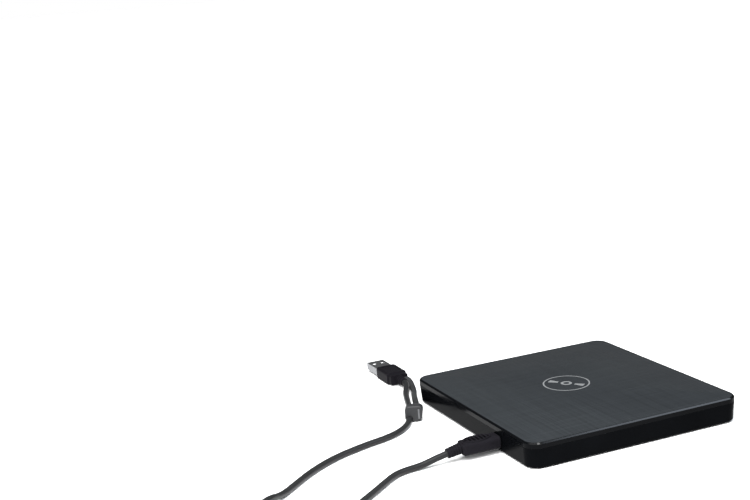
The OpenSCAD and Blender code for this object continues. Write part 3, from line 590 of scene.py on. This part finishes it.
def add_sky(strength):
    """Even light all around: white below and at the horizon, dim above it, brighter overhead."""
    world = bpy.data.worlds.new("studio")
    bpy.context.scene.world = world
    world.use_nodes = True
    nodes, links = world.node_tree.nodes, world.node_tree.links
    sky = nodes["Background"]
    sky.inputs["Strength"].default_value = strength
    direction = nodes.new("ShaderNodeTexCoord")
    parts = nodes.new("ShaderNodeSeparateXYZ")
    ramp = nodes.new("ShaderNodeValToRGB")
    links.new(direction.outputs["Generated"], parts.inputs["Vector"])
    links.new(parts.outputs["Z"], ramp.inputs["Fac"])
    links.new(ramp.outputs["Color"], sky.inputs["Color"])
    stops = ramp.color_ramp.elements
    stops[0].position, stops[0].color = 0.05, (1, 1, 1, 1)
    stops[1].position, stops[1].color = 1.0, (0.62, 0.64, 0.66, 1)
    for place, level in ((0.1, 0.16), (0.45, 0.14), (0.75, 0.5)):
        stop = stops.new(place)
        stop.color = (level * 0.97, level * 0.99, level, 1)


def add_sun(strength):
    """A broad soft light from above that reaches the whole floor evenly."""
    data = bpy.data.lights.new("ceiling", "SUN")
    data.energy, data.angle = strength, math.radians(50)
    light = bpy.data.objects.new("ceiling", data)
    light.rotation_euler = (math.radians(-12), math.radians(-14), 0)
    bpy.context.scene.collection.objects.link(light)


class DRIVE_OT_stage(bpy.types.Operator):
    """Adds the camera, a pale floor and soft studio light"""
    bl_idname = "disc_drive.stage"
    bl_label = "Stage"

    def execute(self, context):
        settings = context.scene.drive_stage
        add_camera(settings.lens)
        clear_selection()
        bpy.ops.mesh.primitive_plane_add(size=60)
        floor = named("floor")
        material = start_finish("floor_white", 0.9, specular=0.1)
        shader_of(material).inputs["Base Color"].default_value = (*settings.floor_colour, 1)
        floor.data.materials.append(material)
        add_sky(settings.sky)
        context.scene.view_settings.view_transform = "Standard"
        add_sun(settings.sun)
        add_panel_light("rear_soft", (-0.22, 0.25, 0.33), (-0.05, 0.06, 0.015), 0.5, 0.5, 5.6)
        add_panel_light("edge_soft", (-0.34, -0.5, 0.6), (-0.072, -0.02, 0.015), 0.3, 0.3, 1.9,
                        (0.78, 0.87, 1))
        return {"FINISHED"}


# ---- lead ----

def eased(low, high, wound, start, length):
    """A value that goes from low to high with soft ends over a stretch of the winding."""
    t = min(1, max(0, (wound - start) / length))
    return low + (high - low) * t ** 2 * (3 - 2 * t)


def spare_turns():
    """The spare turns, clockwise from where the lead arrives, the last part over the outer turn."""
    points = []
    for i in range(COIL_STEPS + 1):
        wound = COIL_SWEEP * i / COIL_STEPS
        radius = eased(COIL_OUTER, COIL_INNER, wound, *COIL_TUCK)
        height = eased(COIL_HEIGHT, COIL_EXIT_HEIGHT, wound, *COIL_RISE)
        angle = math.radians(COIL_IN_ANGLE - wound)
        offset = Vector((radius * math.cos(angle), radius * math.sin(angle), height))
        points.append(COIL_CENTRE + offset * MM)
    return points


def smooth_curve(name, points):
    """A smooth open curve through the points."""
    data = bpy.data.curves.new(name, "CURVE")
    data.dimensions = "3D"
    data.twist_mode = "Z_UP"
    data.resolution_u = 5
    spline = data.splines.new("BEZIER")
    spline.bezier_points.add(len(points) - 1)
    for knot, point in zip(spline.bezier_points, points):
        knot.co = point
        knot.handle_left_type = knot.handle_right_type = "AUTO"
    curve = bpy.data.objects.new(name, data)
    bpy.context.scene.collection.objects.link(curve)
    return curve


class DRIVE_OT_lead(bpy.types.Operator):
    """Lays the lead from plug to plug, with its spare turns in a tie"""
    bl_idname = "disc_drive.lead"
    bl_label = "Lead"

    def execute(self, context):
        lead = context.scene.drive_lead
        near_part = [Vector(p) * MM for p in NEAR_ROUTE]
        far_part = [Vector(p) * MM for p in FAR_ROUTE]
        cord = smooth_curve("lead_cord", near_part + spare_turns() + far_part)
        cord.data.bevel_depth = lead.cord_diameter / 2
        cord.data.bevel_resolution = 5
        cord.data.use_fill_caps = True
        own(cord, "lead", "cord_black", "cord_near", "cord_coil", "cord_far")
        add_tie()
        return {"FINISHED"}


def add_tie():
    """A band round the spare turns: a rounded block, hollowed from end to end."""
    middle, half_width, half_length, height = 20.9, 4.15, 3.0, 4.38
    tie = add_block("coil_band", Vector((middle - half_width, -half_length, 0.02)) * MM,
                    Vector((middle + half_width, half_length, height)) * MM)
    edit(tie)
    bevel_edges(tie, along("Y"), 0.0012, 4)
    pick_faces(tie, lambda c, n: abs(n.y) > 0.9)
    inset(0.00026)
    bpy.ops.mesh.bridge_edge_loops()
    finish_edges(tie, 0.00006)
    put(tie, COIL_CENTRE, TIE_ANGLE)
    own(tie, "lead", "rubber_black", "coil_tie")


# ---- casing ----

PANEL = 0.0014  # floor and ceiling of the shells
BOSS_RADIUS = 0.0024  # posts that the casing screws go into
SCREW_RADIUS = 0.0019  # heads of the casing screws
FOOT_RADIUS = 0.005
PLAIN_ROUND_EMBLEM = 0.03  # around the emblem the plate's edges stay as packed


class DRIVE_OT_casing(bpy.types.Operator):
    """Models the upper and lower shells"""
    bl_idname = "disc_drive.casing"
    bl_label = "Casing"

    def execute(self, context):
        casing = context.scene.drive_casing
        top = Vector(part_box("top_cover")[1])
        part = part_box("bottom_cover")[1][2]
        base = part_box("bottom_cover")[0][2]
        add_top_panel(top)
        add_upper_shell(casing, top, part)
        add_lower_shell(casing, top, part, base)
        return {"FINISHED"}


def add_top_panel(top):
    """The top plate as packed, its outer edge turned to a fine chamfer."""
    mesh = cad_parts["top_plate"].data.copy()
    panel = bpy.data.objects.new("top_panel", mesh)
    bpy.context.scene.collection.objects.link(panel)
    edit(panel)
    bpy.ops.mesh.customdata_custom_splitnormals_clear()
    bpy.ops.mesh.select_all(action="SELECT")
    bpy.ops.mesh.remove_doubles(threshold=0.000002)
    bpy.ops.mesh.dissolve_limited(angle_limit=math.radians(0.5))
    emblem = [sum(c) / 2 for c in zip(*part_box("emblem"))]
    on_top = level("Z", top.z)
    bevel_edges(panel, lambda a, b: on_top(a, b) and all(
        math.dist((v.x, v.y), emblem[:2]) > PLAIN_ROUND_EMBLEM for v in (a, b)), 0.00018, 2)
    make_active(panel)
    bpy.ops.object.shade_smooth_by_angle(angle=math.radians(50))
    own(panel, "casing", "brushed_plate", "top_plate")


def in_corners(x, y):
    """The four places at plus and minus x and y."""
    return [(sx * x, sy * y) for sx in (-1, 1) for sy in (-1, 1)]


def screw_places():
    """Middles of the four casing screws."""
    high = Vector(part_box("casing_screws")[1])
    x, y = high.x - SCREW_RADIUS, high.y - SCREW_RADIUS
    return in_corners(x, y)


def add_upper_shell(casing, top, part):
    """The upper shell: a lid with a chamfered rim, a seat for the plate, a lip, bosses and ribs."""
    shell = add_block("upper_shell", (-top.x, -top.y, part), tuple(top))
    ceiling = top.z - casing.plate_depth - PANEL
    edge, lip_depth, lip_width = 0.00012, 0.0014, 0.0008
    edit(shell)
    bevel_edges(shell, along("Z"), casing.corner_radius, 12)
    bevel_edges(shell, level("Z", top.z), casing.rim_bevel, 1)
    bevel_edges(shell, level("Z", part), edge, 2)
    pick_faces(shell, facing("Z", 1, top.z))
    inset(casing.rim_width - casing.rim_bevel)
    extrude(z=-casing.plate_depth)
    pick_faces(shell, facing("Z", -1, part))
    inset(casing.wall + 0.0001 - edge)
    extrude(z=-lip_depth)
    inset(lip_width)
    extrude(z=ceiling - part + lip_depth)
    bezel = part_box("bezel")
    gap = 0.0015
    combine(shell, add_block("front_gap", (bezel[0][0] - gap, -top.y - 0.001, part - 0.003),
                             (bezel[1][0] + gap, -top.y + 0.006, part)))
    finish_edges(shell, 0.00006)
    boss = add_boss(ceiling + 0.0004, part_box("top_cover")[0][2])
    bosses = [copy_to(boss, "boss_copy", (x, y, 0)) for x, y in screw_places()]
    bpy.data.objects.remove(boss)
    rib_place, rib_half, rib_end = 0.04, 0.0006, 0.045
    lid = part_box("drive_lid")[1][2]
    ribs = [add_block("rib", (side * rib_place - rib_half, -rib_end, lid + 0.00005),
                      (side * rib_place + rib_half, rib_end, ceiling + 0.0003)) for side in (-1, 1)]
    for rib in ribs:
        finish_edges(rib, 0.0002)
    join(shell, *bosses, *ribs)
    own(shell, "casing", "satin_black", "top_cover")
    shell.data.materials.append(finish("rim_gloss"))
    for face in shell.data.polygons:
        on_rim = face.center.z > top.z - casing.rim_bevel and 0.05 < face.normal.z < 0.95
        if on_rim and abs(face.normal.y) < 0.3:
            face.material_index = 1


def add_boss(top_z, bottom_z):
    """A screw boss: a post whose lower end is rounded and drilled."""
    edge, bore, depth = 0.0003, 0.00102, 0.005
    boss = add_post("boss", (0, 0, (top_z + bottom_z) / 2), BOSS_RADIUS, top_z - bottom_z, sides=32)
    edit(boss)
    bevel_edges(boss, level("Z", bottom_z), edge, 2)
    pick_faces(boss, facing("Z", -1))
    inset(BOSS_RADIUS - edge - bore)
    extrude(z=depth)
    finish_edges(boss)
    return boss


def add_lower_shell(casing, top, part, base):
    """The lower shell: a tub with leaning walls, a round bottom edge, posts, stands and openings."""
    shell = add_block("lower_shell", (-top.x, -top.y, base), (top.x, top.y, part))
    floor = base + PANEL
    edge, bottom_round, sink = 0.00014, 0.0014, 0.0004
    edit(shell)
    bevel_edges(shell, along("Z"), casing.corner_radius, 12)
    pick_faces(shell, facing("Z", -1))
    scale_about((0, 0, base), 1 - casing.draft / top.x, 1 - casing.draft / top.y)
    bevel_edges(shell, level("Z", base), bottom_round, 5)
    bevel_edges(shell, level("Z", part), edge, 2)
    pick_faces(shell, facing("Z", 1, part))
    inset(casing.wall - edge)
    extrude(z=floor - part)
    post_middle, post_height = 0.0025, 0.003
    screw_head, pillar_radius, stand_half, stand_inset = 0.0018, 0.003, 0.002, 0.004
    posts = [add_post("post", (x, y, post_middle), BOSS_RADIUS, post_height, sides=32)
             for x, y in screw_places()]
    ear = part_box("chassis_screws")[1]
    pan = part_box("base_pan")[0][2]
    for x, y in in_corners(ear[0] - screw_head, ear[1] - screw_head):
        posts.append(add_post("pillar", (x, y, (floor + pan - sink) / 2),
                              pillar_radius, pan - floor + sink, sides=32))
    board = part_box("bridge_board")
    mid_y = (board[0][1] + board[1][1]) / 2
    for x in (board[0][0] + stand_inset, board[1][0] - stand_inset):
        posts.append(add_block("stand", (x - stand_half, mid_y - stand_half, floor - sink),
                               (x + stand_half, mid_y + stand_half, board[0][2])))
    combine(shell, join(*posts), "UNION")
    combine(shell, add_lower_openings(top, part, base))
    finish_edges(shell, 0.00008)
    own(shell, "casing", "gloss_black", "bottom_cover")


def add_lower_openings(top, part, base):
    """Everything that is cut out of the lower shell, as one tool."""
    bezel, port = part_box("bezel"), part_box("usb_socket")
    tools = [
        add_block("bezel_gap", (bezel[0][0] - 0.0003, -top.y - 0.001, bezel[0][2] - 0.0002),
                  (bezel[1][0] + 0.0003, -top.y + 0.0034, part + 0.001)),
        add_block("port_gap", (port[0][0] - 0.0003, top.y - 0.0034, port[0][2] - 0.0003),
                  (port[1][0] + 0.0003, top.y + 0.001, port[1][2] + 0.0003)),
    ]
    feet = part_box("feet")[1]
    for x, y in in_corners(feet[0] - FOOT_RADIUS, feet[1] - FOOT_RADIUS):
        tools.append(add_post("foot_seat", (x, y, base - 0.0003), FOOT_RADIUS + 0.0001, 0.0014))
    for x, y in screw_places():
        well = add_post("well", (x, y, 0.0007), 0.002, 0.0034, sides=32)
        edit(well)
        pick_faces(well, facing("Z", 1))
        inset(0.0009)
        extrude(z=0.003)
        tools.append(well)
    return join(*tools)


# ---- tray's front ----

class DRIVE_OT_front(bpy.types.Operator):
    """Models the bezel, the eject button and the light's lens"""
    bl_idname = "disc_drive.front"
    bl_label = "Tray front"

    def execute(self, context):
        low, high = (Vector(c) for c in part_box("bezel"))
        bezel = add_block("bezel_front", low, high)
        upright = along("Z")
        edit(bezel)
        bevel_edges(bezel, lambda a, b: upright(a, b) and a.y < low.y + 0.001, 0.0008, 4)
        bevel_edges(bezel, level("Y", low.y), 0.0004, 3)
        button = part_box("eject_button")
        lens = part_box("led_lens")
        gap, lens_gap, past = 0.00015, 0.00002, 0.001
        pin_hole = (0.023, (low.y + high.y) / 2, 0.0069)
        line_start, line_depth, line_low, line_high = -0.047, 0.0004, 0.0016, 0.0012
        tools = [
            add_block("button_gap", (button[0][0] - gap, low.y - past, button[0][2] - gap),
                      (button[1][0] + gap, high.y + past, button[1][2] + gap)),
            add_block("lens_gap", (lens[0][0] - lens_gap, low.y - past, lens[0][2] - lens_gap),
                      (lens[1][0] + lens_gap, high.y + past, lens[1][2] + lens_gap)),
            add_post("pin_hole", pin_hole, 0.0006, 0.008, "Y", 24),
            add_block("line", (line_start, low.y - past, high.z - line_low),
                      (pin_hole[0], low.y + line_depth, high.z - line_high)),
        ]
        combine(bezel, join(*tools))
        finish_edges(bezel, 0.00008)
        own(bezel, "tray", "bezel_black", "bezel")
        key = add_block("eject_key", *button)
        edit(key)
        bevel_edges(key, along("Y"), 0.0005, 4)
        bevel_edges(key, level("Y", button[0][1]), 0.00025, 3)
        finish_edges(key, 0.00005)
        own(key, "eject_button", "bezel_black", "eject_button", look="satin_black")
        light = add_block("light_lens", *lens)
        edit(light)
        bevel_edges(light, level("Y", lens[0][1]), 0.00015, 3)
        finish_edges(light, 0.00004)
        own(light, "tray", "led_green", "led_lens")
        return {"FINISHED"}


# ---- plugs ----

def ribbed_sleeve(name, start, radius, end_radius, length, rings, groove):
    """A tapered sleeve with ring grooves along +Y, drawn out of a disc step by step."""
    start = Vector(start)
    first = 0.0006
    sleeve = add_post(name, (start.x, start.y + first / 2, start.z), radius, first, "Y", 40)
    edit(sleeve)
    pick_faces(sleeve, facing("Y", 1))
    pitch = (length - 2 * first) / rings
    y, r = start.y + first, radius
    for k in range(rings):
        ridge = radius + (end_radius - radius) * (k + 0.6) / rings
        for step, wide in ((0.0, groove), (pitch * 0.42, groove), (0.0, ridge), (pitch * 0.58, ridge)):
            extrude(y=step)
            y += step
            scale_about((start.x, y, start.z), wide / r, 1, wide / r)
            r = wide
    extrude(y=first)
    y += first
    scale_about((start.x, y, start.z), end_radius / r, 1, end_radius / r)
    finish_edges(sleeve, 0.00014, 3, 30)
    return sleeve


def add_grip_pad(centre, top_z):
    """The oval thumb pad: a raised ring with a sunken middle, crossed by six ribs."""
    half_wide, half_long = 0.0044, 0.0084
    pad = add_post("pad", (0, 0, 0), 1, 1, sides=64)
    edit(pad)
    bpy.ops.mesh.select_all(action="SELECT")
    scale_about((0, 0, 0), half_wide, half_long, top_z - centre.z + 0.0012)
    bpy.ops.transform.translate(value=(centre.x, centre.y, (centre.z + top_z - 0.0012) / 2))
    pick_faces(pad, facing("Z", 1))
    inset(0.0007)
    extrude(z=-0.0006)
    finish_edges(pad, 0.00018, 3, 35)
    ribs = []
    for k in range(6):
        y = (k - 2.5) * 0.0023
        half = (half_wide - 0.0005) * math.sqrt(1 - (y / (half_long - 0.0005)) ** 2)
        rib = add_block("rib", (centre.x - half, centre.y + y - 0.00055, top_z - 0.0009),
                        (centre.x + half, centre.y + y + 0.00055, top_z - 0.00005))
        finish_edges(rib, 0.0003, 3, 35)
        ribs.append(rib)
    return join(pad, *ribs)


class DRIVE_OT_small_plug(bpy.types.Operator):
    """Models the small plug's grip and its strain relief"""
    bl_idname = "disc_drive.small_plug"
    bl_label = "Small plug"

    def execute(self, context):
        low, high = (Vector(c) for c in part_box("mini_plug_body"))
        mid = (low + high) / 2
        shoulder = high.y - 0.001
        crown = high.z - 0.0006
        grip = add_block("small_grip", low, (high.x, shoulder, crown))
        edit(grip)
        bevel_edges(grip, along("Y"), 0.0024, 6)
        bevel_edges(grip, level("Y", low.y), 0.0005, 3)
        pick_faces(grip, facing("Y", 1))
        inset(0.0007)
        extrude(y=0.001)
        scale_about((mid.x, high.y, mid.z), 0.86, 1, 0.88)
        finish_edges(grip, 0.0003, 3, 35)
        centre = Vector((mid.x, low.y + 0.0125, crown))
        join(grip, add_grip_pad(centre, high.z))
        own(grip, "lead", "plug_black", "mini_plug_body")
        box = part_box("mini_plug_relief")
        start = Vector((mid.x, box[0][1], mid.z))
        relief = ribbed_sleeve("small_relief", (0, -0.0006, 0), 0.0033, 0.0029, 0.0088, 5, 0.0026)
        put(relief, start, RELIEF_DROOP, "X")
        own(relief, "lead", "plug_black", "mini_plug_relief")
        return {"FINISHED"}


class DRIVE_OT_large_plug(bpy.types.Operator):
    """Models the large plug's grip and its strain relief"""
    bl_idname = "disc_drive.large_plug"
    bl_label = "Large plug"

    def execute(self, context):
        place = Vector(LARGE_PLUG) * MM
        back, long, wide, high = 0.004, 0.022, 0.007, 0.004
        grip = add_block("large_grip", (back, -wide, -high), (long, wide, high))
        ends = level("X", back), level("X", long)
        edit(grip)
        bevel_edges(grip, along("X"), 0.0016, 3)
        bevel_edges(grip, lambda a, b: any(end(a, b) for end in ends), 0.0006, 3)
        pick_faces(grip, facing("X", -1))
        inset(0.0006)
        extrude(x=-back)
        scale_about((0, 0, 0), 1, 0.97, 0.94)
        finish_edges(grip, 0.0003, 3, 35)
        panel = add_block("panel", (0.007, -0.0046, high - 0.0002), (0.0195, 0.0046, high + 0.001))
        edit(panel)
        bevel_edges(panel, along("Z"), 0.0018, 5)
        combine(grip, panel)
        finish_edges(grip, 0.00012, 2, 35)
        put(grip, place)
        own(grip, "lead", "plug_black", "usb_plug_body")
        relief = ribbed_sleeve("large_relief", Vector((0, 0, 0)), 0.003, 0.0024, 0.008, 3, 0.0023)
        put(relief, place, 90)
        own(relief, "lead", "plug_black", "usb_plug_relief")
        return {"FINISHED"}


# ---- strap and clip ----

class DRIVE_OT_strap(bpy.types.Operator):
    """Lays the strap beside the lead and models its clip"""
    bl_idname = "disc_drive.strap"
    bl_label = "Strap and clip"

    def execute(self, context):
        wide, thick, corner_radius = 0.0036, 0.0018, 0.0006
        strap = smooth_curve("plug_strap", [Vector(p) * MM for p in STRAP_ROUTE])
        section = bpy.data.curves.new("strap_section", "CURVE")
        outline = section.splines.new("POLY")
        corner = [(math.cos(math.radians(a)) * corner_radius, math.sin(math.radians(a)) * corner_radius)
                  for a in range(0, 91, 18)]
        points = []
        for sx, sy in ((1, 1), (-1, 1), (-1, -1), (1, -1)):
            arc = corner if sx * sy > 0 else corner[::-1]
            points += [(sx * (x + wide / 2 - corner_radius), sy * (y + thick / 2 - corner_radius))
                       for x, y in arc]
        outline.points.add(len(points) - 1)
        for knot, (x, y) in zip(outline.points, points):
            knot.co = (x, y, 0, 1)
        outline.use_cyclic_u = True
        profile = bpy.data.objects.new("strap_section", section)
        bpy.context.scene.collection.objects.link(profile)
        strap.data.bevel_mode = "OBJECT"
        strap.data.bevel_object = profile
        strap.data.use_fill_caps = True
        make_active(strap)
        bpy.ops.object.convert(target="MESH")
        strap = named("plug_strap")
        bpy.data.objects.remove(profile)
        finish_edges(strap, angle=50)
        own(strap, "lead", "cord_black", "cord_strap", look="strap_black")
        add_clip(context.scene.drive_lead.cord_diameter / 2)
        return {"FINISHED"}


def add_clip(cord_radius):
    """The clip: an upright rounded tab with a channel for the lead and a low ridge up each face; the
    ridges are coloured lighter, a painted highlight.
    """
    long, wide, high = 0.003, 0.00575, 0.01
    lean, channel_y, lip = 0.0014, -0.003, 0.0003
    ridge_y, ridge_z, proud = (0.0022, 0.0033), (0.0022, 0.0082), 0.0007
    clip = add_block("lead_clip", (-long, -wide, 0.0), (long, wide, high))
    edit(clip)
    outer, bottom = level("Y", wide), level("Z", 0)
    pick_edges(clip, lambda a, b: outer(a, b) and bottom(a, b))
    bpy.ops.transform.translate(value=(0, -lean, 0))
    bevel_edges(clip, along("X"), 0.003, 8)
    bevel_edges(clip, lambda a, b: near(a.x, b.x) and near(abs(a.x), long), 0.0008, 4)
    combine(clip, add_post("channel", (0, channel_y, cord_radius + 0.0001), cord_radius + 0.0002,
                           0.03, "X", 32))
    combine(clip, add_block("slot", (-0.02, channel_y - cord_radius + lip, -0.001),
                            (0.02, channel_y + cord_radius - lip, 0.0015)))
    finish_edges(clip, 0.00012, 2, 35)
    ridges = []
    for side in (-1, 1):
        ridge = add_block("ridge", (side * long - proud, ridge_y[0], ridge_z[0]),
                          (side * long + proud, ridge_y[1], ridge_z[1]))
        finish_edges(ridge, 0.0004, 3, 35)
        ridges.append(ridge)
    join(clip, *ridges)
    raised = [face.index for face in clip.data.polygons if abs(face.center.x) > long + 0.0002]
    put(clip, Vector(CLIP_PLACE) * MM, CLIP_ANGLE)
    own(clip, "lead", "clip_grey", "strap_clip")
    # The ridge faces take the lighter grey: a painted highlight.
    clip.data.materials.append(finish("ridge_painted_highlight"))
    for index in raised:
        clip.data.polygons[index].material_index = 1


# ---- what stays as packed, and an empty last step ----

class DRIVE_OT_finishes(bpy.types.Operator):
    """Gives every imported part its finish"""
    bl_idname = "disc_drive.finishes"
    bl_label = "Finishes"

    def execute(self, context):
        for name, nodes in NODES_BY_FINISH.items():
            for node in nodes:
                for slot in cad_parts[node].material_slots:
                    slot.material = finish(name)
        return {"FINISHED"}


class DRIVE_OT_declare(bpy.types.Operator):
    """A last step that does nothing"""
    bl_idname = "disc_drive.declare"
    bl_label = "Lead facts"

    def execute(self, context):
        return {"FINISHED"}


class DRIVE_PT_panel(bpy.types.Panel):
    """Lists the drive's pieces and their settings"""
    bl_idname = "DRIVE_PT_panel"
    bl_label = "Slim Disc Drive"
    bl_space_type = "VIEW_3D"
    bl_region_type = "UI"
    bl_category = "Disc Drive"

    def draw(self, context):
        layout = self.layout
        scene = context.scene
        for settings in (scene.drive_casing, scene.drive_lead, scene.drive_stage):
            box = layout.box()
            for key in settings.__annotations__:
                box.prop(settings, key)
        for step in STEPS:
            layout.operator(step.bl_idname)


STEPS = (DRIVE_OT_stage, DRIVE_OT_lead, DRIVE_OT_casing, DRIVE_OT_front, DRIVE_OT_small_plug,
         DRIVE_OT_large_plug, DRIVE_OT_strap, DRIVE_OT_finishes, DRIVE_OT_declare)
CLASSES = (CasingSettings, LeadSettings, StageSettings, *STEPS, DRIVE_PT_panel)


def register():
    """Registers the settings, the operators and the panel."""
    for item in CLASSES:
        bpy.utils.register_class(item)
    bpy.types.Scene.drive_casing = bpy.props.PointerProperty(type=CasingSettings)
    bpy.types.Scene.drive_lead = bpy.props.PointerProperty(type=LeadSettings)
    bpy.types.Scene.drive_stage = bpy.props.PointerProperty(type=StageSettings)


def unregister():
    """Removes them again."""
    del bpy.types.Scene.drive_stage
    del bpy.types.Scene.drive_lead
    del bpy.types.Scene.drive_casing
    for item in reversed(CLASSES):
        bpy.utils.unregister_class(item)


def main():
    """Builds everything in order."""
    register()
    for step in STEPS:
        group, name = step.bl_idname.split(".")
        getattr(getattr(bpy.ops, group), name)()
    clear_selection()


if __name__ == "__main__":
    main()
